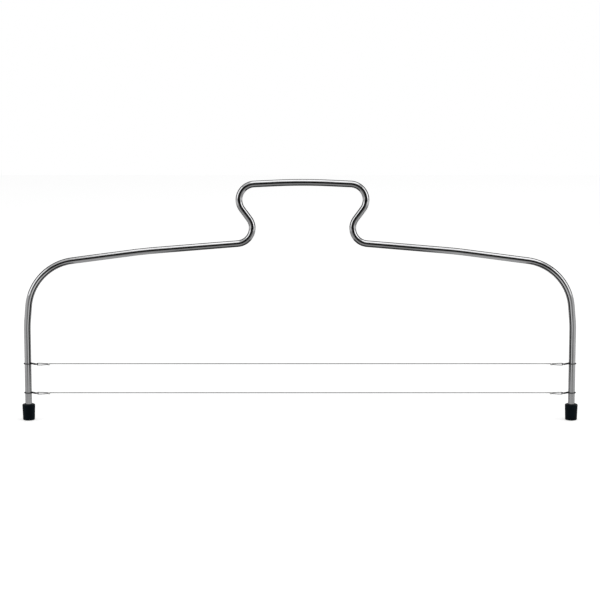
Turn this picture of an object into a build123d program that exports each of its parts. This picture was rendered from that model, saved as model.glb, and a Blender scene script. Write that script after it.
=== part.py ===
from build123d import *
import os

# Cake leveler with two cutting wires
#
# One steel rod is bent into two legs, two sloping shoulders and a raised handle for the fingers.
# A rubber foot caps each end of the rod. Two thin wires are stretched between the legs. Each wire
# ends in a slender loop through the eye of a link, and the link's ring goes round the leg, where
# it rests in one of a row of fine grooves. Moving the rings to other grooves sets the thickness of
# the layer that the wire cuts.
#
# Lengths are in millimetres. X runs from leg to leg, Y through the tool's thin side, away from the
# user, and Z up. The origin is on the table, midway between the two feet.

# Rod of the bow
rod_diameter = 4.0
leg_spacing = 330.0

# Grooves in the legs, counted upwards from the foot
groove_spacing = 3.0
groove_count = 14
groove_depth = 0.04
groove_width = 0.5
foot_to_first_groove = 4.1
groove_count_below_lower_wire = 1
groove_count_below_upper_wire = 7

# Corner of the bow: the leg leans in a little, turns the corner and meets the shoulder.
# Each rise here and below is measured along Z between two bends, from the point where the rod's
# straight runs would meet if the bend were sharp to the next such point.
last_groove_to_lean = 5.8
lean_radius = 76.0
corner_inset = 3.3
corner_rise = 36.1
corner_radius = 31.0

# Shoulder, with one slight bend on its way to the neck
shoulder_bend_offset = 94.0
shoulder_bend_rise = 9.0
shoulder_bend_radius = 300.0

# Handle, which stands slightly off the middle of the bow
handle_offset = 1.5
neck_half_width = 22.0
neck_rise = 6.0
neck_radius = 9.5
handle_half_width = 46.8
handle_rise = 33.9
handle_corner_radius = 9.6
crown_rise = 2.2
crown_radius = 340.0

# Rubber feet
foot_height = 9.7
foot_top_diameter = 7.9
foot_bottom_diameter = 7.2
foot_top_edge_radius = 0.6
foot_bottom_edge_radius = 0.5
foot_floor_thickness = 3.0
foot_bore_clearance = 0.02

# Cutting wires, each a straight span between two looped ends
wire_diameter = 0.5
loop_length = 6.0
loop_half_opening = 0.52
loop_widest_share = 0.6
loop_entry_radius = 3.0
loop_shoulder_radius = 12.0
loop_end_corner_share = 0.75

# Links between the wires and the legs. The neck dips by its drop from the ring to the eye.
link_wire_diameter = 0.6
ring_fit_clearance = 0.04
ring_slack = 0.2
neck_twist_diameter = 1.2
neck_twist_length = 2.0
neck_twist_drop = 0.4
eye_hole_diameter = 0.8
eye_fit_clearance = 0.03

# Ferrules that close the loops
ferrule_length = 1.2
ferrule_wall = 0.18
ferrule_clearance = 0.02
strand_gap = 0.03

# Places worked out from the sizes above
rod_radius = rod_diameter / 2
leg_x = leg_spacing / 2
wire_radius = wire_diameter / 2
link_wire_radius = link_wire_diameter / 2
first_groove_height = foot_height + foot_to_first_groove
last_groove_height = first_groove_height + (groove_count - 1) * groove_spacing
lean_height = last_groove_height + last_groove_to_lean
corner_height = lean_height + corner_rise
shoulder_bend_height = corner_height + shoulder_bend_rise
neck_height = shoulder_bend_height + neck_rise
handle_corner_height = neck_height + handle_rise
crown_height = handle_corner_height + crown_rise
strand_offset = (wire_diameter + strand_gap) / 2
loop_end_offset = link_wire_radius + eye_fit_clearance + wire_radius


def groove_height(groove):
    """Height of a groove above the table."""
    return first_groove_height + groove * groove_spacing


def bow_points(side):
    """Corner points of one half of the rod's centreline, from the foot up to the crown."""
    return [
        (side * leg_x, 0, foot_floor_thickness),
        (side * leg_x, 0, lean_height),
        (side * (leg_x - corner_inset), 0, corner_height),
        (side * shoulder_bend_offset, 0, shoulder_bend_height),
        (handle_offset + side * neck_half_width, 0, neck_height),
        (handle_offset + side * handle_half_width, 0, handle_corner_height),
    ]


def leg_grooves(side):
    """Ring-shaped cutters, one for each groove of a leg, with a rounded bottom."""
    cutter_radius = (groove_width**2 / 4 + groove_depth**2) / (2 * groove_depth)
    centre_radius = rod_radius - groove_depth + cutter_radius
    return [
        Pos(side * leg_x, 0, groove_height(groove)) * Torus(centre_radius, cutter_radius)
        for groove in range(groove_count)
    ]


def make_bow():
    """The bent rod, with its grooves."""
    crown = (handle_offset, 0, crown_height)
    points = bow_points(-1) + [crown] + bow_points(1)[::-1]
    half_radii = [lean_radius, corner_radius, shoulder_bend_radius, neck_radius, handle_corner_radius]
    centreline = FilletPolyline(*points, radius=half_radii + [crown_radius] + half_radii[::-1])
    section = Plane(origin=points[0], z_dir=(0, 0, 1)) * Circle(rod_radius)
    rod = sweep(section, path=centreline)
    return rod - leg_grooves(-1) - leg_grooves(1)


def make_foot(side):
    """A tapered rubber cap with rounded edges and a blind bore for the rod's end."""
    cap = Cone(
        foot_bottom_diameter / 2,
        foot_top_diameter / 2,
        foot_height,
        align=(Align.CENTER, Align.CENTER, Align.MIN),
    )
    rims = cap.edges().filter_by(GeomType.CIRCLE).sort_by(Axis.Z)
    cap = fillet(rims[-1], foot_top_edge_radius)
    rims = cap.edges().filter_by(GeomType.CIRCLE).sort_by(Axis.Z)
    cap = fillet(rims[0], foot_bottom_edge_radius)
    bore = Pos(0, 0, foot_floor_thickness) * Cylinder(
        rod_radius + foot_bore_clearance,
        foot_height,
        align=(Align.CENTER, Align.CENTER, Align.MIN),
    )
    return Pos(side * leg_x, 0, 0) * (cap - bore)


# Distances inwards from a leg's centre, for the ring, the neck, the eye and the wire's loop
ring_radius = rod_radius + ring_fit_clearance + ring_slack / 2 + link_wire_radius
ring_inset = ring_slack / 2
neck_start = ring_inset + ring_radius
eye_radius = (eye_hole_diameter + link_wire_diameter) / 2
eye_inset = neck_start + neck_twist_length + eye_radius
eye_far_wire = eye_inset + eye_radius
ferrule_start = eye_far_wire + loop_length
ferrule_end = ferrule_start + ferrule_length


def make_link(side, ring_height, eye_height):
    """A wire link: a level ring round the leg, a twisted neck and a small level eye."""
    ring = Pos(side * (leg_x - ring_inset), 0, ring_height) * Torus(ring_radius, link_wire_radius)
    eye = Pos(side * (leg_x - eye_inset), 0, eye_height) * Torus(eye_radius, link_wire_radius)
    start = Vector(side * (leg_x - neck_start), 0, ring_height)
    end = Vector(side * (leg_x - neck_start - neck_twist_length), 0, eye_height)
    neck_line = Plane(origin=(start + end) / 2, z_dir=end - start)
    neck = neck_line * Cylinder(neck_twist_diameter / 2, (end - start).length)
    return ring + neck + eye


def loop_points(side, height):
    """Corner points of a wire's looped end, from its cut end round the link's eye to the span."""
    widest_inset = ferrule_start - loop_length * loop_widest_share
    return [
        (side * (leg_x - ferrule_end), 0, height - strand_offset),
        (side * (leg_x - ferrule_start), 0, height - strand_offset),
        (side * (leg_x - widest_inset), 0, height - loop_half_opening),
        (side * (leg_x - eye_far_wire + loop_end_offset), 0, height - loop_end_offset),
        (side * (leg_x - eye_far_wire + loop_end_offset), 0, height + loop_end_offset),
        (side * (leg_x - widest_inset), 0, height + loop_half_opening),
        (side * (leg_x - ferrule_start), 0, height + strand_offset),
        (side * (leg_x - ferrule_end), 0, height + strand_offset),
    ]


def make_wire_loop(side, height):
    """A wire's looped end: a slender loop through the link's eye, with both strands in a ferrule."""
    points = loop_points(side, height)
    end_radius = loop_end_offset * loop_end_corner_share
    radii = [
        loop_entry_radius,
        loop_shoulder_radius,
        end_radius,
        end_radius,
        loop_shoulder_radius,
        loop_entry_radius,
    ]
    centreline = FilletPolyline(*points, radius=radii)
    section = Plane(origin=points[0], z_dir=(side, 0, 0)) * Circle(wire_radius)
    return sweep(section, path=centreline)


def make_cutting_wire(height):
    """A wire's straight span, between its ferrules and in line with the loops' upper strands."""
    span = Rot(0, 90, 0) * Cylinder(wire_radius, 2 * (leg_x - ferrule_end))
    return Pos(0, 0, height + strand_offset) * span


def make_ferrule(side, height):
    """An oval sleeve round the two strands where the wire's loop closes."""
    hole_width = wire_diameter + 2 * ferrule_clearance
    outside = SlotCenterToCenter(2 * strand_offset, hole_width + 2 * ferrule_wall, rotation=90)
    hole = SlotCenterToCenter(2 * strand_offset, hole_width, rotation=90)
    sleeve = extrude(Plane.YZ * (outside - hole), amount=ferrule_length / 2, both=True)
    middle = ferrule_start + ferrule_length / 2
    return Pos(side * (leg_x - middle), 0, height) * sleeve


def make_nodes():
    """Every piece of the tool, by name."""
    nodes = {
        "bow": make_bow(),
        "left_foot": make_foot(-1),
        "right_foot": make_foot(1),
    }
    for level, groove in (("upper", groove_count_below_upper_wire), ("lower", groove_count_below_lower_wire)):
        ring_height = groove_height(groove)
        eye_height = ring_height - neck_twist_drop
        nodes[f"{level}_cutting_wire"] = make_cutting_wire(eye_height)
        for hand, side in (("left", -1), ("right", 1)):
            nodes[f"{level}_{hand}_wire_loop"] = make_wire_loop(side, eye_height)
            nodes[f"{level}_{hand}_link"] = make_link(side, ring_height, eye_height)
            nodes[f"{level}_{hand}_ferrule"] = make_ferrule(side, eye_height)
    return nodes


os.makedirs("parts", exist_ok=True)
for name, shape in make_nodes().items():
    shape.label = name
    export_step(shape, f"parts/{name}.step")
    print(name, "volume", round(shape.volume, 2), "box", shape.bounding_box())
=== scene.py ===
# %% [markdown]
# # Dressing a cake leveler for its picture
# A cake leveler is a bow of bent steel rod that stands on two rubber feet. Two thin wires are
# stretched between its legs, and they slice a cake into level layers. The construction is already
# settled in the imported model, so this lesson only dresses it: finer meshes, finishes, light and a
# camera. Everything is in metres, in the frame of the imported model.

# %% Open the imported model
import math

import bpy
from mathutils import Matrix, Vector


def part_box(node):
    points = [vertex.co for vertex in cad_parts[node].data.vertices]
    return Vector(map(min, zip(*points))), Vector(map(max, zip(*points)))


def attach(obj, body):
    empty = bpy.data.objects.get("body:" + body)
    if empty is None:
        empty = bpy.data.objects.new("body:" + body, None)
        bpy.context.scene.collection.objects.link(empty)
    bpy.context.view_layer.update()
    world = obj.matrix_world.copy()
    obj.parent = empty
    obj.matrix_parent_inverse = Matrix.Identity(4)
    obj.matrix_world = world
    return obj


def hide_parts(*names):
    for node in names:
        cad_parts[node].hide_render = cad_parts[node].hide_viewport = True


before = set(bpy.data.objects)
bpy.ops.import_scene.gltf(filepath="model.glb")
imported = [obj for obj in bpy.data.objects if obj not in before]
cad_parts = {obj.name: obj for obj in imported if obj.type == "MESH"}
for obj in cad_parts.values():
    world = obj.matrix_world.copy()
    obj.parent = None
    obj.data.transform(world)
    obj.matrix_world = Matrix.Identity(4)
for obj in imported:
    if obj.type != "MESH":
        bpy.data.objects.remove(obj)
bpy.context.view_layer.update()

scene = bpy.context.scene
MM = 0.001

# %% [markdown]
# ## Read the sizes off the frame
# A dressed piece has to lie exactly where its solid is. The sizes could all be typed in again, but
# a typing slip would then shift a piece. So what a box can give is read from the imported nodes, and
# only what a box can't tell, such as a bend's radius, is written as a value.

# %% Sizes of the rod and the wires
bow_low, bow_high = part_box("bow")
rod_radius = (bow_high.y - bow_low.y) / 2
leg_x = (bow_high.x - bow_low.x) / 2 - rod_radius
rod_foot_z = bow_low.z
wire_low, wire_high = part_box("upper_cutting_wire")
wire_radius = (wire_high.z - wire_low.z) / 2
foot_low, foot_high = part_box("left_foot")
foot_height = foot_high.z - foot_low.z
print("rod radius", round(rod_radius / MM, 3), "mm, legs at x", round(leg_x / MM, 3), "mm")
print("wire radius", round(wire_radius / MM, 3), "mm, feet", round(foot_height / MM, 2), "mm tall")

# %% Heights of the two wires
levels = ("upper", "lower")
hands = {"left": -1, "right": 1}


def middle_height(node):
    """Height of the middle of a node's box above the table."""
    low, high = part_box(node)
    return (low.z + high.z) / 2


eye_height = {level: middle_height(f"{level}_left_ferrule") for level in levels}
for level in levels:
    print(level, "link eyes at", round(eye_height[level] / MM, 2), "mm")

# %% [markdown]
# ## The camera
# The picture was taken from straight in front and a little above, from far enough away that the
# tool hardly tapers. A long lens does the same. The lens is worked out from the width that the
# picture shows at the tool's own plane, because that is what was measured.

# %% Place the camera
camera_distance = 1.5
camera_elevation = math.radians(10)
picture_width = 0.3623
sensor_width = 36
aim = Vector((0, 0, 0.0739))

camera_data = bpy.data.cameras.new("camera")
camera_data.sensor_width = sensor_width
camera_data.lens = sensor_width * camera_distance / picture_width
camera = bpy.data.objects.new("camera", camera_data)
backwards = Vector((0, -math.cos(camera_elevation), math.sin(camera_elevation)))
camera.location = aim + backwards * camera_distance
camera.rotation_euler = (-backwards).to_track_quat("-Z", "Y").to_euler()
scene.collection.objects.link(camera)
scene.camera = camera
scene.view_settings.view_transform = "Standard"
print("lens", round(camera_data.lens, 1), "mm on a", sensor_width, "mm sensor")

# %% [markdown]
# ## Small helpers for node trees
# Materials and geometry trees are both nodes joined by links. One helper adds a node, sets its
# options and fills its inputs. A value that is itself a socket becomes a link.


# %% Helpers that add a node
def add(tree, kind, inputs=None, **options):
    """Add a node to a tree. Inputs are given by name or number, as values or as sockets to link."""
    node = tree.nodes.new(kind)
    for name, value in options.items():
        setattr(node, name, value)
    for key, value in (inputs or {}).items():
        if isinstance(value, bpy.types.NodeSocket):
            tree.links.new(value, node.inputs[key])
        else:
            node.inputs[key].default_value = value
    return node


def sum_of(tree, operation, *values):
    """A Math node's result."""
    return add(tree, "ShaderNodeMath", dict(enumerate(values)), operation=operation).outputs[0]


def empty_material(name):
    """A material whose node tree has nothing in it yet, and that tree."""
    material = bpy.data.materials.new(name)
    material.use_nodes = True
    material.node_tree.nodes.clear()
    return material, material.node_tree


def surface(tree, shader):
    """Join a shader to the material's output."""
    add(tree, "ShaderNodeOutputMaterial", {"Surface": shader.outputs[0]})


# %% [markdown]
# ## The white room
# The tool stands on white with no edge between floor and wall. A bigger lamp could burn the floor
# out to white, but it would burn the steel out too. So the floor and the world are white only
# where a ray comes straight from the camera or from a mirror-like bounce, and light the tool at a
# plain level otherwise. The floor is still a lit surface under that, so the soft shadows of the
# feet stay.

# %% The world
world_level = 0.35
white = (1, 1, 1, 1)


def seen_directly(tree):
    """1 for rays of the camera and of clear reflections, 0 for the rays that light things."""
    path = add(tree, "ShaderNodeLightPath").outputs
    mirrors = sum_of(tree, "MAXIMUM", path["Is Glossy Ray"], path["Is Transmission Ray"])
    return sum_of(tree, "MAXIMUM", path["Is Camera Ray"], mirrors)


world = bpy.data.worlds.new("white_room")
world.use_nodes = True
tree = world.node_tree
tree.nodes.clear()
lift = sum_of(tree, "MULTIPLY", seen_directly(tree), 1 - world_level)
level_now = sum_of(tree, "ADD", lift, world_level)
sky = add(tree, "ShaderNodeBackground", {"Color": white, "Strength": level_now})
add(tree, "ShaderNodeOutputWorld", {"Surface": sky.outputs[0]})
scene.world = world
print("world level", world_level)

# %% The floor, a hair below the feet
floor_colour = 0.8
floor_lift = 0.53
floor_half = 1.2
floor_drop = 0.00005

floor_paper, tree = empty_material("floor_paper")
paper = add(tree, "ShaderNodeBsdfDiffuse", {"Color": (floor_colour, floor_colour, floor_colour, 1)})
glow = sum_of(tree, "MULTIPLY", seen_directly(tree), floor_lift)
shine = add(tree, "ShaderNodeEmission", {"Color": white, "Strength": glow})
surface(tree, add(tree, "ShaderNodeAddShader", {0: paper.outputs[0], 1: shine.outputs[0]}))

floor_mesh = bpy.data.meshes.new("floor")
floor_corners = [(-1, -1), (1, -1), (1, 1), (-1, 1)]
floor_places = [(x * floor_half, y * floor_half, -floor_drop) for x, y in floor_corners]
floor_mesh.from_pydata(floor_places, [], [(0, 1, 2, 3)])
floor_mesh.materials.append(floor_paper)
floor = bpy.data.objects.new("floor", floor_mesh)
scene.collection.objects.link(floor)
print("floor colour", floor_colour, "and", 2 * floor_half, "m wide")

# %% [markdown]
# ## Soft lamps
# Polished steel has hardly any colour of its own: it shows the room. A big soft lamp overhead gives
# the bright band along the top of every sloping run. A dimmer one at each side, a little in front
# of the tool, gives the highlights of the corners. Small lamps would give hard glints instead.

# %% Lamps overhead and at both sides
overhead_size = 2.4
overhead_place = (0.45, -0.3, 2.6)
overhead_power = 23.0
side_distance = 1.6
side_forward = 0.5
side_length = 1.2
side_depth = 1.4
side_height = 0.75
side_power = 6.5


def soft_lamp(name, place, target, width, depth, power):
    """A rectangular lamp at a place, turned to a target."""
    data = bpy.data.lights.new(name, "AREA")
    data.shape = "RECTANGLE"
    data.size = width
    data.size_y = depth
    data.energy = power
    lamp = bpy.data.objects.new(name, data)
    lamp.location = place
    lamp.rotation_euler = (Vector(target) - Vector(place)).to_track_quat("-Z", "Y").to_euler()
    scene.collection.objects.link(lamp)


below = (overhead_place[0], overhead_place[1], 0)
soft_lamp("overhead_lamp", overhead_place, below, overhead_size, overhead_size, overhead_power)
for hand, side in hands.items():
    place = (side * side_distance, -side_forward, side_height)
    across = (0, -side_forward, side_height)
    soft_lamp(f"{hand}_lamp", place, across, side_length, side_depth, side_power)

# %% [markdown]
# ## Dark cards round the tool
# In an all-white room a mirror-like rod would vanish. So a photographer stands black cards where
# only the metal sees them. Here one stands below the lens and draws the dark line along the middle
# of every run. Two flags stand behind the tool, fold forward at both sides and draw the thin dark
# rims. The cards are there for mirror bounces only, so they take no light away.


# %% Helpers for cards
def paint(name, colour):
    """A matt paint, and its coat, which a graded colour can be linked to."""
    material, tree = empty_material(name)
    coat = add(tree, "ShaderNodeBsdfDiffuse", {"Color": (colour, colour, colour, 1)})
    surface(tree, coat)
    return material, coat


def card(name, corners, material, faces=None):
    """A card that only mirror bounces see, flat unless its faces are given."""
    mesh = bpy.data.meshes.new(name)
    mesh.from_pydata(corners, [], faces or [tuple(range(len(corners)))])
    mesh.materials.append(material)
    thing = bpy.data.objects.new(name, mesh)
    thing.visible_camera = False
    thing.visible_diffuse = False
    thing.visible_shadow = False
    scene.collection.objects.link(thing)
    return thing


def upright(y, half_width, low, high):
    """Corners of an upright card that faces along Y."""
    return [(-half_width, y, low), (half_width, y, low), (half_width, y, high), (-half_width, y, high)]


# %% The card below the lens
lens_card_y = -0.5
lens_card_half = 0.62
lens_card_top = 0.6

black_paint = paint("black_paint", 0.03)[0]
card("lens_card", upright(lens_card_y, lens_card_half, MM, lens_card_top), black_paint)
print("lens card", 2 * lens_card_half, "m wide")

# %% The flags behind and at the sides
flag_y = 0.6
flag_inner = 0.08
flag_outer = 1.7
flag_low = 0.3
flag_high = 1.7
flag_return = 0.12

dark_paint = paint("dark_paint", 0.08)[0]
grey_paint = paint("grey_paint", 0.3)[0]
for hand, side in hands.items():
    line = [(side * flag_inner, flag_y), (side * flag_outer, flag_y), (side * flag_outer, flag_return)]
    folds = [(x, y, z) for z in (MM, flag_high) for x, y in line]
    card(f"{hand}_flag", folds, dark_paint, [(0, 1, 4, 3), (1, 2, 5, 4)])
card("top_flag", upright(flag_y, flag_inner, flag_low, flag_high), grey_paint)
print("flags reach from", flag_inner, "to", flag_outer, "m at each side")

# %% [markdown]
# ## A graded mat under the tool
# The underside of a run mirrors the table in front of it. A mat lies there, grey at the far end and
# pale nearer the tool, with a dark strip at the tool's foot. The strip is only as wide as the
# handle, because the photograph shows the outer shoulders paler below than the handle. Out by the
# legs the whole mat is pale.


# %% Helpers for graded shades
def mapped(tree, value, between, to=(0, 1)):
    """A value moved from one range to another, and kept within it."""
    ends = {"From Min": between[0], "From Max": between[1], "To Min": to[0], "To Max": to[1]}
    return add(tree, "ShaderNodeMapRange", {"Value": value, **ends}).outputs[0]


def shade_ramp(tree, value, shades):
    """A colour ramp of greys, from a table of places between 0 and 1 and their shades."""
    ramp = add(tree, "ShaderNodeValToRGB", {"Fac": value})
    steps = ramp.color_ramp.elements
    for i, (where, shade) in enumerate(shades.items()):
        step = steps[i] if i < len(steps) else steps.new(where)
        step.position = where
        step.color = (shade, shade, shade, 1)
    return ramp.outputs["Color"]


def blend(tree, value, between, first, second):
    """The first shade below one value and the second above another, blended between them."""
    both = {"Factor": mapped(tree, value, between), "A": first, "B": second}
    return add(tree, "ShaderNodeMix", both, data_type="FLOAT").outputs[0]


def object_place(tree):
    """X, Y and Z of the place on the object, as sockets."""
    place = add(tree, "ShaderNodeTexCoord").outputs["Object"]
    return add(tree, "ShaderNodeSeparateXYZ", {0: place}).outputs


# %% The graded mat
mat_half = 0.34
mat_back = 0.5
mat_middle = {-0.5: 0.35, -0.28: 0.42, -0.12: 0.8, -0.04: 0.1}
mat_sides = {-0.5: 0.35, -0.28: 0.42, -0.12: 0.9, -0.04: 1.0}
mat_pale = 1.0
middle_to_side = (0.07, 0.09)
grey_to_pale = (0.2, 0.3)


def by_depth(tree, forward, shades):
    """A ramp of shades given at places along Y, from the lens card to the tool."""
    return shade_ramp(tree, forward, {1 - y / lens_card_y: shade for y, shade in shades.items()})


mat_paint, coat = paint("mat_paint", mat_pale)
tree = mat_paint.node_tree
place = object_place(tree)
forward = mapped(tree, place["Y"], (lens_card_y, 0))
sideways = sum_of(tree, "ABSOLUTE", place["X"])
middle, sides = [by_depth(tree, forward, shades) for shades in (mat_middle, mat_sides)]
shade = blend(tree, sideways, middle_to_side, middle, sides)
shade = blend(tree, sideways, grey_to_pale, shade, mat_pale)
tree.links.new(shade, coat.inputs["Color"])
near_edge = [(-mat_half, lens_card_y, MM), (mat_half, lens_card_y, MM)]
far_edge = [(mat_half, mat_back, MM), (-mat_half, mat_back, MM)]
card("mat", near_edge + far_edge, mat_paint)
print("mat", 2 * mat_half, "m wide and", mat_back - lens_card_y, "m deep")

# %% [markdown]
# ## A curved card round each leg
# An upright rod mirrors a whole turn of the room in a strip a few millimetres wide, squeezed into
# thin lengthwise lines. In the photograph each leg shows a grey line in front, a bright one beside
# it and a dark one towards the cake. Flat cards would need to be many and narrow for that. So a
# curved card stands round each leg, and its shade goes by the turn from straight ahead, counted
# towards the middle of the tool. It glows by itself, because the rod then shows exactly the shades
# that are written. Near the table the shades run together.

# %% The curved card's shades
leg_card_turns = (-180, 180)
outer_shades = {-180: 0.9, -66: 0.9, -60: 0.75, -28: 0.66}
front_shades = {-24: 0.27, 8: 0.27, 12: 1.0, 42: 1.0}
inner_shades = {47: 0.02, 92: 0.02, 98: 0.5, 180: 0.5}
low_shade = 0.62
shades_run_together = (0.004, 0.028)


def turn_share(turn):
    """A turn's place between the card's two ends, from 0 to 1."""
    return (turn - leg_card_turns[0]) / (leg_card_turns[1] - leg_card_turns[0])


leg_card_shades = {**outer_shades, **front_shades, **inner_shades}
leg_paint, tree = empty_material("leg_card_paint")
turned = add(tree, "ShaderNodeAttribute", attribute_name="turn").outputs["Fac"]
by_turn = shade_ramp(tree, turned, {turn_share(turn): shade for turn, shade in leg_card_shades.items()})
shade = blend(tree, object_place(tree)["Z"], shades_run_together, low_shade, by_turn)
surface(tree, add(tree, "ShaderNodeEmission", {"Color": shade, "Strength": 1.0}))
print("shades round a leg:", len(leg_card_shades))

# %% The curved cards
leg_card_distance = 0.03
leg_card_heights = (0.0015, 0.08)
leg_card_step = 3

turns = range(leg_card_turns[0], leg_card_turns[1] + leg_card_step, leg_card_step)
rim = []
for turn in turns:
    inwards = leg_card_distance * math.sin(math.radians(turn))
    rim.append((leg_x - inwards, -leg_card_distance * math.cos(math.radians(turn))))
faces = [(i, i + 1, i + 1 + len(rim), i + len(rim)) for i in range(len(rim) - 1)]
shares = [turn_share(turn) for turn in turns] * len(leg_card_heights)
for hand, side in hands.items():
    places = [(side * x, y, z) for z in leg_card_heights for x, y in rim]
    leg_card = card(f"{hand}_leg_card", places, leg_paint, faces)
    leg_card.data.attributes.new("turn", "FLOAT", "POINT").data.foreach_set("value", shares)

# %% [markdown]
# ## Polished steel and drawn wire
# The rod is drawn through a die and polished. Drawing leaves very fine lines along its length, and
# handling leaves faint cloudy patches, a little duller and darker than the rest. An anisotropic
# shader could hint at the lines, but it wouldn't show them. So they are noise, stretched along the
# rod. They have to follow the bends, so the pattern is read from a "grain" attribute that the mesh
# carries: two numbers round the rod and one along it. Wire is drawn the same way, only finer. The
# wires' looped ends and the links get painted shade by their distance from the tool's middle.

# %% How drawn metal varies
streak_length = 60
line_fineness = 6
line_length = 25
line_strength = 0.5
streak_ends = (0.45, 1.05)
patch_ends = (0.3, 0.7)
soiling = (1.04, 0.94)
dulling = (0.8, 1.3)
grain_strength = 0.2
grain_depth = 0.00002


def along_grain(tree, across, along, detail):
    """Noise that changes over one distance round the metal and another along it."""
    grain = add(tree, "ShaderNodeAttribute", attribute_name="grain").outputs["Vector"]
    scale = (1 / across, 1 / across, 1 / along)
    place = add(tree, "ShaderNodeMapping", {"Vector": grain, "Scale": scale}).outputs[0]
    kind = {"Vector": place, "Scale": 1.0, "Detail": detail}
    return add(tree, "ShaderNodeTexNoise", kind).outputs["Fac"]


def painted_shade_by_place(tree, painted_shades):
    """Painted shade by place, from a table of distances from the tool's middle."""
    near, far = min(painted_shades), max(painted_shades)
    outwards = mapped(tree, sum_of(tree, "ABSOLUTE", object_place(tree)["X"]), (near, far))
    return shade_ramp(tree, outwards, {(x - near) / (far - near): level for x, level in painted_shades.items()})


# %% A metal with lines along its length
def metal(name, colour, roughness, edge_tint, streak_width, streak_depth, patch_size, painted_shades=None):
    """A drawn metal: streaks and fine lines along the grain, soft patches of handling, painted shade if
    given.
    """
    material, tree = empty_material(name)
    streaks = along_grain(tree, streak_width, streak_width * streak_length, detail=1.0)
    lines = along_grain(tree, streak_width / line_fineness, streak_width * line_length, detail=2.0)
    patches = along_grain(tree, patch_size, patch_size, detail=4.0)
    both = sum_of(tree, "ADD", streaks, sum_of(tree, "MULTIPLY", lines, line_strength))
    streaked = mapped(tree, both, streak_ends, (1 - streak_depth, 1 + streak_depth))
    shade = sum_of(tree, "MULTIPLY", streaked, mapped(tree, patches, patch_ends, soiling))
    # painted shade, darker by distance from the tool's middle, where a table is given
    if painted_shades:
        shade = sum_of(tree, "MULTIPLY", shade, painted_shade_by_place(tree, painted_shades))
    tint = add(tree, "ShaderNodeVectorMath", {0: colour, "Scale": shade}, operation="SCALE")
    worn = mapped(tree, patches, patch_ends, [roughness * level for level in dulling])
    relief = {"Height": both, "Strength": grain_strength, "Distance": grain_depth}
    surface(tree, add(tree, "ShaderNodeBsdfPrincipled", {
        "Base Color": tint.outputs[0],
        "Metallic": 1.0,
        "Roughness": worn,
        "Specular Tint": (edge_tint, edge_tint, edge_tint, 1),
        "Normal": add(tree, "ShaderNodeBump", relief).outputs[0],
    }))
    return material


# %% The four metals
# Painted shade on the cutting wires' looped ends and on the links: distance from the tool's middle and the
# share of colour kept there.
wire_end_painted_shade = {0.148: 1.0, 0.153: 0.3, 0.158: 0.3, 0.1595: 1.0}
link_eye_painted_shade = {0.1588: 1.0, 0.1597: 0.5}
link_neck_painted_shade = {0.1608: 0.18, 0.162: 0.08}
link_ring_painted_shade = {0.1635: 0.2, 0.166: 0.3, 0.167: 0.05}

polished_steel = metal(
    "polished_steel", (0.43, 0.43, 0.435), roughness=0.11, edge_tint=0.3,
    streak_width=0.0006, streak_depth=0.2, patch_size=0.006,
)
drawn_wire = metal(
    "drawn_wire", (0.19, 0.19, 0.188), roughness=0.3, edge_tint=0.4,
    streak_width=0.0001, streak_depth=0.1, patch_size=0.003, painted_shades=wire_end_painted_shade,
)
link_wire = metal(
    "link_wire", (0.45, 0.45, 0.455), roughness=0.3, edge_tint=0.25,
    streak_width=0.00015, streak_depth=0.15, patch_size=0.002,
    painted_shades={**link_eye_painted_shade, **link_neck_painted_shade, **link_ring_painted_shade},
)
ferrule_metal = metal(
    "ferrule_metal", (0.6, 0.6, 0.59), roughness=0.3, edge_tint=0.5,
    streak_width=0.0002, streak_depth=0.15, patch_size=0.001,
)
print("metals:", polished_steel.name, drawn_wire.name, link_wire.name, ferrule_metal.name)

# %% [markdown]
# ## Black rubber for the feet
# The feet are moulded rubber caps: nearly black, a little blue, with a fine pebbled skin that keeps
# the light dull, and a little dust where fingers don't reach. The skin is noise in Object
# coordinates and not in the grain's, because a moulded skin has no direction.

# %% Rubber
pebbles_per_metre = 4500.0
clouds_per_metre = 350.0
pebble_strength = 0.35
pebble_depth = 0.00004
clean_rubber = (0.0015, 0.0035, 0.0055, 1)
dusty_rubber = (0.003, 0.0075, 0.011, 1)
dust_ends = (0.35, 0.75)
rubber_roughness = (0.42, 0.6)

black_rubber, tree = empty_material("black_rubber")
where = add(tree, "ShaderNodeTexCoord").outputs["Object"]
pebbles = add(tree, "ShaderNodeTexNoise", {"Vector": where, "Scale": pebbles_per_metre, "Detail": 2.0})
clouds = add(tree, "ShaderNodeTexNoise", {"Vector": where, "Scale": clouds_per_metre, "Detail": 3.0})
dust = add(tree, "ShaderNodeValToRGB", {"Fac": clouds.outputs["Fac"]})
for step, end, colour in zip(dust.color_ramp.elements, dust_ends, (clean_rubber, dusty_rubber)):
    step.position = end
    step.color = colour
relief = {"Height": pebbles.outputs["Fac"], "Strength": pebble_strength, "Distance": pebble_depth}
surface(tree, add(tree, "ShaderNodeBsdfPrincipled", {
    "Base Color": dust.outputs["Color"],
    "Roughness": mapped(tree, clouds.outputs["Fac"], (0, 1), rubber_roughness),
    "Specular IOR Level": 0.05,
    "Normal": add(tree, "ShaderNodeBump", relief).outputs[0],
}))
print("rubber:", black_rubber.name)

# %% [markdown]
# ## From a line of points to a finished mesh
# Rod and wires are all the same thing: a round section that follows a line. Blender's curve objects
# can do that too, but they can't carry the grain or thin the rod at its grooves. So the line is a
# small mesh of points and edges, a geometry tree sweeps the section along it, and the result is
# turned into a plain mesh. The tree's sizes are named inputs of the modifier, so they stay easy to
# change.


# %% Helpers for a geometry tree and its line
def new_tree(name, sizes):
    """A geometry tree with a mesh input and output and one named input for each size."""
    tree = bpy.data.node_groups.new(name, "GeometryNodeTree")
    tree.interface.new_socket(name="Line", in_out="INPUT", socket_type="NodeSocketGeometry")
    for size, kind in sizes.items():
        tree.interface.new_socket(name=size, in_out="INPUT", socket_type=f"NodeSocket{kind}")
    tree.interface.new_socket(name="Piece", in_out="OUTPUT", socket_type="NodeSocketGeometry")
    return tree, tree.nodes.new("NodeGroupInput").outputs


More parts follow.
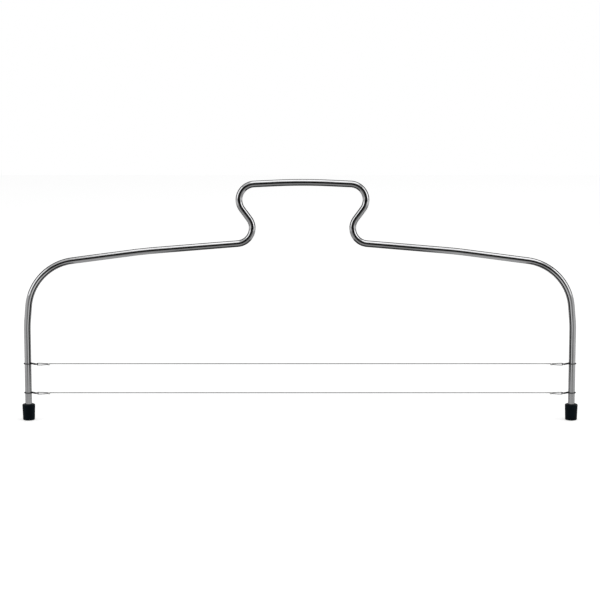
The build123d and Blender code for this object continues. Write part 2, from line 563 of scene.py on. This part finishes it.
def end_tree(tree, mesh, material):
    """Smooth shading, real geometry and the material, and the tree's output."""
    smooth = add(tree, "GeometryNodeSetShadeSmooth", {"Geometry": mesh}).outputs[0]
    real = add(tree, "GeometryNodeRealizeInstances", {"Geometry": smooth}).outputs[0]
    painted = add(tree, "GeometryNodeSetMaterial", {"Geometry": real, "Material": material}).outputs[0]
    add(tree, "NodeGroupOutput", {0: painted})


def line_object(name, points, **numbers):
    """An object that holds a line through the points, with numbers stored at each point."""
    mesh = bpy.data.meshes.new(name)
    mesh.from_pydata(points, [(i, i + 1) for i in range(len(points) - 1)], [])
    for number, values in numbers.items():
        kind = "INT" if isinstance(values[0], int) else "FLOAT"
        mesh.attributes.new(number, kind, "POINT").data.foreach_set("value", values)
    return bpy.data.objects.new(name, mesh)


# %% Helpers for a finished piece
def finished_mesh(line, tree, sizes):
    """The plain mesh that a geometry tree makes of a line, with its sizes set by identifier."""
    modifier = line.modifiers.new(tree.name, "NODES")
    modifier.node_group = tree
    identifiers = {i.name: i.identifier for i in tree.interface.items_tree if i.in_out == "INPUT"}
    for size, value in sizes.items():
        modifier[identifiers[size]] = value
    scene.collection.objects.link(line)
    graph = bpy.context.evaluated_depsgraph_get()
    mesh = bpy.data.meshes.new_from_object(line.evaluated_get(graph), depsgraph=graph)
    line.modifiers.remove(modifier)
    bpy.data.objects.remove(line)
    return mesh


def dress(name, mesh, body, slot, *nodes):
    """A finished piece that rides on a body and stands for the named solids."""
    mesh.name = name
    piece = bpy.data.objects.new(name, mesh)
    scene.collection.objects.link(piece)
    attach(piece, body)
    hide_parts(*nodes)
    print(name, "faces", len(mesh.polygons), "on", body)
    return piece


# %% A helper that sweeps a round section and stores the grain
def swept(tree, curve, section_radius, around, thickness=None):
    """Sweep a circle along a curve and store the grain: two numbers round it, one along it."""
    lengths = add(tree, "GeometryNodeCaptureAttribute", {"Geometry": curve})
    lengths.capture_items.new("FLOAT", "along")
    length = add(tree, "GeometryNodeSplineParameter").outputs["Length"]
    tree.links.new(length, lengths.inputs["along"])
    circle = add(tree, "GeometryNodeCurvePrimitiveCircle", {"Resolution": around, "Radius": section_radius})
    places = add(tree, "GeometryNodeCaptureAttribute", {"Geometry": circle.outputs["Curve"]})
    places.capture_items.new("VECTOR", "around")
    tree.links.new(add(tree, "GeometryNodeInputPosition").outputs[0], places.inputs["around"])
    sweep = add(tree, "GeometryNodeCurveToMesh", {
        "Curve": lengths.outputs["Geometry"],
        "Profile Curve": places.outputs["Geometry"],
        "Fill Caps": True,
    })
    if thickness is not None:
        tree.links.new(thickness, sweep.inputs["Scale"])
    split = add(tree, "ShaderNodeSeparateXYZ", {0: places.outputs["around"]}).outputs
    along = lengths.outputs["along"]
    grain = add(tree, "ShaderNodeCombineXYZ", {"X": split["X"], "Y": split["Y"], "Z": along})
    stored = add(tree, "GeometryNodeStoreNamedAttribute", {
        "Geometry": sweep.outputs["Mesh"],
        "Name": "grain",
    }, data_type="FLOAT_VECTOR", domain="POINT")
    value = [s for s in stored.inputs if s.name == "Value" and s.enabled][0]
    tree.links.new(grain.outputs[0], value)
    return stored.outputs["Geometry"]


# %% [markdown]
# ## The bow
# The bow is one rod, bent cold. Its line could be drawn by hand as a smooth curve, but a bender
# sets it out as corner points, where straight runs would meet, and the radius of each bend. So it
# is drawn the same way here, and a Fillet Curve node rounds the corners. The legs also carry fine
# ring grooves that the links rest in. Groove after groove is the same, so the tree makes them all
# from a spacing, a width and a depth, by thinning the rod there.

# %% A geometry tree for a bent, grooved rod
rod_tree, sizes = new_tree("bent_grooved_rod", {
    "Rod Radius": "Float",
    "Around": "Int",
    "Bend Steps": "Int",
    "First Groove": "Float",
    "Groove Spacing": "Float",
    "Groove Count": "Int",
    "Groove Width": "Float",
    "Groove Depth": "Float",
    "Material": "Material",
})


def stored_number(tree, name, kind):
    """A number that was stored at each point of the line."""
    return add(tree, "GeometryNodeInputNamedAttribute", {"Name": name}, data_type=kind).outputs["Attribute"]


line = add(rod_tree, "GeometryNodeMeshToCurve", {"Mesh": sizes["Line"]}).outputs[0]
bends = add(rod_tree, "GeometryNodeFilletCurve", {
    "Curve": line,
    "Radius": stored_number(rod_tree, "bend_radius", "FLOAT"),
    "Count": sizes["Bend Steps"],
}, mode="POLY").outputs[0]
fine = add(rod_tree, "GeometryNodeSubdivideCurve", {
    "Curve": bends,
    "Cuts": stored_number(rod_tree, "cuts", "INT"),
}).outputs[0]
print("tree", rod_tree.name, "takes", [size.name for size in sizes if size.name])


# %% The grooves: how much thinner the rod is at each height
def rod_math(operation, *values):
    """A Math node's result in the rod's tree."""
    return sum_of(rod_tree, operation, *values)


place = add(rod_tree, "GeometryNodeInputPosition").outputs[0]
height = add(rod_tree, "ShaderNodeSeparateXYZ", {0: place}).outputs["Z"]
above_first = rod_math("SUBTRACT", height, sizes["First Groove"])
nearest = rod_math("ROUND", rod_math("DIVIDE", above_first, sizes["Groove Spacing"]))
last = rod_math("SUBTRACT", sizes["Groove Count"], 1)
nearest = rod_math("MINIMUM", rod_math("MAXIMUM", nearest, 0), last)
away = rod_math("SUBTRACT", above_first, rod_math("MULTIPLY", nearest, sizes["Groove Spacing"]))
share = rod_math("DIVIDE", rod_math("MULTIPLY", away, 2), sizes["Groove Width"])
dip = rod_math("MAXIMUM", rod_math("SUBTRACT", 1, rod_math("MULTIPLY", share, share)), 0)
depth = rod_math("MULTIPLY", dip, sizes["Groove Depth"])
thickness = rod_math("SUBTRACT", 1, rod_math("DIVIDE", depth, sizes["Rod Radius"]))
rod = swept(rod_tree, fine, sizes["Rod Radius"], sizes["Around"], thickness)
end_tree(rod_tree, rod, sizes["Material"])
print("tree", rod_tree.name, "with", len(rod_tree.nodes), "nodes")

# %% Sizes of the grooves
first_groove = 0.0138
groove_spacing = 0.003
groove_count = 14
groove_width = 0.0005
groove_depth = 0.00004
groove_margin = 0.001
groove_cuts = 600
last_groove = first_groove + (groove_count - 1) * groove_spacing
print("grooves from", round(first_groove / MM, 1), "to", round(last_groove / MM, 1), "mm")

# %% Corner points of half the bow
lean_height = 0.0586
corner_inset = 0.0033
corner_height = 0.0947
shoulder_bend_x = 0.094
shoulder_bend_height = 0.1037
handle_offset = 0.0015
neck_half_width = 0.022
neck_height = 0.1097
handle_half_width = 0.0468
handle_corner_height = 0.1436
crown_height = 0.1458
lean_radius = 0.076
corner_radius = 0.031
shoulder_bend_radius = 0.3
neck_radius = 0.0095
handle_corner_radius = 0.0096
crown_radius = 0.34


def half_bow(side):
    """Corner points of half the bow, from the foot to the crown, each with its bend radius."""
    return [
        ((side * leg_x, 0, rod_foot_z), 0.0),
        ((side * leg_x, 0, first_groove - groove_margin), 0.0),
        ((side * leg_x, 0, last_groove + groove_margin), 0.0),
        ((side * leg_x, 0, lean_height), lean_radius),
        ((side * (leg_x - corner_inset), 0, corner_height), corner_radius),
        ((side * shoulder_bend_x, 0, shoulder_bend_height), shoulder_bend_radius),
        ((handle_offset + side * neck_half_width, 0, neck_height), neck_radius),
        ((handle_offset + side * handle_half_width, 0, handle_corner_height), handle_corner_radius),
    ]


crown = ((handle_offset, 0, crown_height), crown_radius)
corners = half_bow(-1) + [crown] + half_bow(1)[::-1]
print("corner points of the bow:", len(corners))

# %% Bend the rod
points = [place for place, radius in corners]
cuts = [0] * len(points)
cuts[1] = groove_cuts
cuts[-3] = groove_cuts
bow_line = line_object("bow_line", points, bend_radius=[radius for place, radius in corners], cuts=cuts)
bow_mesh = finished_mesh(bow_line, rod_tree, {
    "Rod Radius": rod_radius,
    "Around": 48,
    "Bend Steps": 24,
    "First Groove": first_groove,
    "Groove Spacing": groove_spacing,
    "Groove Count": groove_count,
    "Groove Width": groove_width,
    "Groove Depth": groove_depth,
    "Material": polished_steel,
})
bow = dress("bow_rod", bow_mesh, "frame", "polished_steel", "bow")
print("bow box", [round(c / MM, 2) for c in bow.bound_box[0]], [round(c / MM, 2) for c in bow.bound_box[6]])

# %% [markdown]
# ## A tree for the links' wire
# A link is bent from a short length of stiff wire. Corner points and radii would be clumsy for its
# ring and its twist, but circles and a helix are easy to work out. The line has many points
# already, so they are smoothed as one curve and swept with a small circle.

# %% A geometry tree for looped wire
wire_tree, sizes = new_tree("bent_wire", {
    "Wire Radius": "Float",
    "Around": "Int",
    "Step": "Float",
    "Material": "Material",
})
line = add(wire_tree, "GeometryNodeMeshToCurve", {"Mesh": sizes["Line"]}).outputs[0]
smooth = add(wire_tree, "GeometryNodeCurveSplineType", {"Curve": line}, spline_type="CATMULL_ROM").outputs[0]
spacing = {"Curve": smooth, "Length": sizes["Step"]}
even = add(wire_tree, "GeometryNodeResampleCurve", spacing, mode="LENGTH").outputs[0]
wire = swept(wire_tree, even, sizes["Wire Radius"], sizes["Around"])
end_tree(wire_tree, wire, sizes["Material"])
print("tree", wire_tree.name, "with", len(wire_tree.nodes), "nodes")

# %% [markdown]
# ## The links
# Each wire end hangs on a link: a ring that goes round the leg, a twisted neck and a small eye. The
# solid has a plain round neck, which is enough for its weight and its fit. A closer look wants the
# real thing, one length of wire. Its line starts in the eye, passes through the neck, goes round
# the leg, comes back through the neck on the other side of the twist and closes the eye.

# %% Sizes of a link
link_radius = 0.0003
ring_radius = 0.00244
ring_inset = 0.0001
neck_start = 0.00254
neck_length = 0.002
neck_drop = 0.0004
twist_radius = 0.0003
twist_half_turns = 3
eye_radius = 0.0007
eye_inset = neck_start + neck_length + eye_radius
ring_gap = math.radians(24)
eye_gap = math.radians(50)
twist_steps = 30
ring_steps = 40
eye_steps = 20
print("link eyes", round(eye_inset / MM, 2), "mm inwards of the leg's axis")


# %% The line of a link's wire
def open_circle(gap, steps):
    """Angles round a circle that leaves a gap on both sides of its start."""
    return [gap + 2 * (math.pi - gap) * i / steps for i in range(steps + 1)]


def link_line(side, z):
    """Points of a link's wire round an eye at this height. The inset is counted from the leg's axis."""
    def at(inset, y, up=0.0):
        return (side * (leg_x - inset), y, z + up)

    def strand(start_turn):
        """One of the neck's two strands, from the ring to the eye."""
        places = []
        for i in range(twist_steps + 1):
            t = i / twist_steps
            turn = start_turn + math.pi * twist_half_turns * t
            up = neck_drop * (1 - t) + twist_radius * math.cos(turn)
            places.append(at(neck_start + neck_length * t, -twist_radius * math.sin(turn), up))
        return places

    ring = [
        at(ring_inset + ring_radius * math.cos(a), ring_radius * math.sin(a), neck_drop)
        for a in open_circle(ring_gap, ring_steps)
    ]
    eye = [
        at(eye_inset - eye_radius * math.cos(a), eye_radius * math.sin(a))
        for a in open_circle(eye_gap, eye_steps)
    ]
    return eye[:1] + strand(0)[::-1] + ring + strand(math.pi) + eye[::-1]


# %% Four links
link_sizes = {"Wire Radius": link_radius, "Around": 16, "Step": 0.0001, "Material": link_wire}
for level in levels:
    for hand, side in hands.items():
        name = f"{level}_{hand}_link"
        line = line_object(name + "_line", link_line(side, eye_height[level]))
        mesh = finished_mesh(line, wire_tree, link_sizes)
        dress(name + "_wire", mesh, f"{level}_wire", "link_wire", name)

# %% [markdown]
# ## The cutting wires
# A cutting wire is one length from end to end. At each end it runs out to the link, turns round the
# eye's far side, comes back below itself and stops in a small ferrule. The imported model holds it
# as a span and two loops, and this one piece stands for all three. Like the rod it is straight runs
# and bends of known radius, so the rod's tree makes it, with the grooves left at nothing.

# %% Sizes of a looped end
ferrule_length = 0.0012
loop_length = 0.006
loop_half_opening = 0.00052
loop_widest_share = 0.6
loop_entry_radius = 0.003
loop_shoulder_radius = 0.012
strand_offset = 0.000265
eye_clearance = 0.00003
eye_far = eye_inset + eye_radius
ferrule_start = eye_far + loop_length
ferrule_end = ferrule_start + ferrule_length
loop_end_offset = link_radius + eye_clearance + wire_radius
loop_end_corner_share = 0.75
loop_end_radius = loop_end_offset * loop_end_corner_share
print("loops from", round(eye_far / MM, 2), "to", round(ferrule_start / MM, 2), "mm inwards")


# %% Corner points of a looped end
def wire_end(side, z):
    """Points of a wire's looped end, from its cut end round the eye and in towards the middle."""
    def at(inset, up):
        return (side * (leg_x - inset), 0, z + up)

    widest = ferrule_start - loop_length * loop_widest_share
    eye_end = eye_far - loop_end_offset
    below = [
        (at(ferrule_end, -strand_offset), 0.0),
        (at(ferrule_start, -strand_offset), loop_entry_radius),
        (at(widest, -loop_half_opening), loop_shoulder_radius),
        (at(eye_end, -loop_end_offset), loop_end_radius),
    ]
    above = [((x, y, 2 * z - height), radius) for (x, y, height), radius in below[::-1]]
    return below + above


# %% Two wires
for level in levels:
    z = eye_height[level]
    corners = wire_end(-1, z) + wire_end(1, z)[::-1]
    points = [place for place, radius in corners]
    bend_radii = [radius for place, radius in corners]
    line = line_object(level + "_line", points, bend_radius=bend_radii, cuts=[0] * len(points))
    mesh = finished_mesh(line, rod_tree, {
        "Rod Radius": wire_radius,
        "Around": 24,
        "Bend Steps": 10,
        "Material": drawn_wire,
    })
    nodes = [f"{level}_cutting_wire", f"{level}_left_wire_loop", f"{level}_right_wire_loop"]
    dress(level + "_wire_strand", mesh, f"{level}_wire", "drawn_wire", *nodes)

# %% [markdown]
# ## The ferrules
# A ferrule is a bit of oval tube, squeezed flat in two places with pliers so that it grips both
# strands. Modifiers could hollow and dent a plain tube, but the dents follow a simple wave. So the
# skin is worked out as a stack of rings: out along the outside, round the lip and back inside.

# %% Sizes of a ferrule
ferrule_steps = 24
ferrule_around = 32
ferrule_half_width = 0.00045
ferrule_half_height = 0.000715
ferrule_wall = 0.00018
squeeze_count = 2
squeeze_depth = 0.00007
bulge_share = 1 / 3
lip_share = 0.25
lip_sharpness = 12
wall_left_share = 0.9
print("ferrules", round(ferrule_length / MM, 2), "mm long")


# %% The rings of a ferrule's skin
def ferrule_ring(x, width, height):
    """Points of an oval ring at a place along the sleeve."""
    straight = height - width
    ring = []
    for i in range(ferrule_around):
        a = 2 * math.pi * i / ferrule_around
        lift = straight if math.sin(a) > 0 else -straight
        ring.append((x, width * math.cos(a), width * math.sin(a) + lift))
    return ring


def ferrule_rings():
    """Rings of a squeezed sleeve about its own middle, outside first and then back inside."""
    outside, inside = [], []
    for i in range(ferrule_steps + 1):
        t = i / ferrule_steps
        squeeze = squeeze_depth * max(0, -math.cos(2 * math.pi * squeeze_count * (t - 0.5)))
        lip = 1 - lip_share * abs(2 * t - 1) ** lip_sharpness
        x = (t - 0.5) * ferrule_length
        width = ferrule_half_width - squeeze - ferrule_wall * (1 - lip)
        height = ferrule_half_height + squeeze * bulge_share - ferrule_wall * (1 - lip)
        outside.append(ferrule_ring(x, width, height))
        inner = ferrule_wall * lip * wall_left_share
        inside.append(ferrule_ring(x, width - inner, height - inner))
    return outside + inside[::-1]


# %% Four ferrules
def closed_skin(name, rings, material):
    """A closed mesh from a stack of rings whose last ring joins the first."""
    around = len(rings[0])
    faces = []
    for i in range(len(rings)):
        for j in range(around):
            a, b = i * around + j, i * around + (j + 1) % around
            c = ((i + 1) % len(rings)) * around
            faces.append((a, b, c + (j + 1) % around, c + j))
    mesh = bpy.data.meshes.new(name)
    mesh.from_pydata([p for ring in rings for p in ring], [], faces)
    mesh.materials.append(material)
    mesh.polygons.foreach_set("use_smooth", [True] * len(faces))
    return mesh


ferrule_inset = ferrule_start + ferrule_length / 2
for level in levels:
    for hand, side in hands.items():
        name = f"{level}_{hand}_ferrule"
        mesh = closed_skin(name, ferrule_rings(), ferrule_metal)
        grain = mesh.attributes.new("grain", "FLOAT_VECTOR", "POINT").data
        for vertex in mesh.vertices:
            x, y, up = vertex.co
            grain[vertex.index].vector = (y, up, x)
            vertex.co = (side * (leg_x - ferrule_inset) + x, y, eye_height[level] + up)
        dress(name + "_sleeve", mesh, f"{level}_wire", "ferrule_metal", name)

# %% [markdown]
# ## The feet
# Each foot is a tapered cap with softly rounded edges and a blind hole for the rod. It is round, so
# it could be lathed, and that is how it is made here: its outline is turned about the leg's axis.
# The rounded edges are arcs that touch the leaning side, and their middles are worked out from the
# side's lean.

# %% Sizes of a foot
foot_top_radius = 0.00395
foot_bottom_radius = 0.0036
foot_top_edge = 0.0006
foot_bottom_edge = 0.0005
foot_mouth_edge = 0.0003
foot_bore_radius = 0.00202
foot_floor = 0.003
foot_inset = 0.00001
foot_around = 96
foot_bottom_steps = 8
foot_top_steps = 14
foot_mouth_steps = 5
underside_rings = (0.001, 0.002)
foot_lean = math.atan((foot_top_radius - foot_bottom_radius) / foot_height)
print("a foot's side leans", round(math.degrees(foot_lean), 2), "degrees")


# %% The outline of a foot
def arc(middle_r, middle_z, radius, start, end, steps):
    """Points of an arc in the outline, as (distance from the axis, height)."""
    angles = [math.radians(start + (end - start) * i / steps) for i in range(steps + 1)]
    return [(middle_r + radius * math.cos(a), middle_z + radius * math.sin(a)) for a in angles]


def foot_outline():
    """Half the cap's section, from the middle of its underside out, up and down into the bore."""
    out, over = math.tan(foot_lean), 1 / math.cos(foot_lean)
    bottom_middle = foot_bottom_radius + foot_bottom_edge * (out - over) - foot_inset
    top_middle = foot_top_radius - foot_top_edge * (out + over) - foot_inset
    mouth_middle = foot_bore_radius + foot_mouth_edge
    top_height, mouth_height = foot_height - foot_top_edge, foot_height - foot_mouth_edge
    side_turn = -math.degrees(foot_lean)
    return (
        [(0.0, 0.0)]
        + [(r, 0.0) for r in underside_rings]
        + arc(bottom_middle, foot_bottom_edge, foot_bottom_edge, -90, side_turn, foot_bottom_steps)
        + arc(top_middle, top_height, foot_top_edge, side_turn, 90, foot_top_steps)
        + arc(mouth_middle, mouth_height, foot_mouth_edge, 90, 180, foot_mouth_steps)
        + [(foot_bore_radius, foot_floor), (foot_bore_radius / 2, foot_floor), (0.0, foot_floor)]
    )


# %% Two feet
def turned_mesh(name, outline, x, material):
    """A closed mesh: an outline that starts and ends on the axis, turned about a leg's axis."""
    points, faces = [(x, 0, outline[0][1])], []
    for r, z in outline[1:-1]:
        for i in range(foot_around):
            a = 2 * math.pi * i / foot_around
            points.append((x + r * math.cos(a), r * math.sin(a), z))
    points.append((x, 0, outline[-1][1]))
    rings = len(outline) - 2
    last_ring = 1 + (rings - 1) * foot_around
    for i in range(foot_around):
        j = (i + 1) % foot_around
        faces.append((0, 1 + j, 1 + i))
        for ring in range(rings - 1):
            low, high = 1 + ring * foot_around, 1 + (ring + 1) * foot_around
            faces.append((low + i, low + j, high + j, high + i))
        faces.append((last_ring + i, last_ring + j, len(points) - 1))
    mesh = bpy.data.meshes.new(name)
    mesh.from_pydata(points, [], faces)
    mesh.materials.append(material)
    mesh.polygons.foreach_set("use_smooth", [True] * len(faces))
    return mesh


for hand, side in hands.items():
    mesh = turned_mesh(f"{hand}_cap", foot_outline(), side * leg_x, black_rubber)
    dress(f"{hand}_foot_cap", mesh, "frame", "black_rubber", f"{hand}_foot")
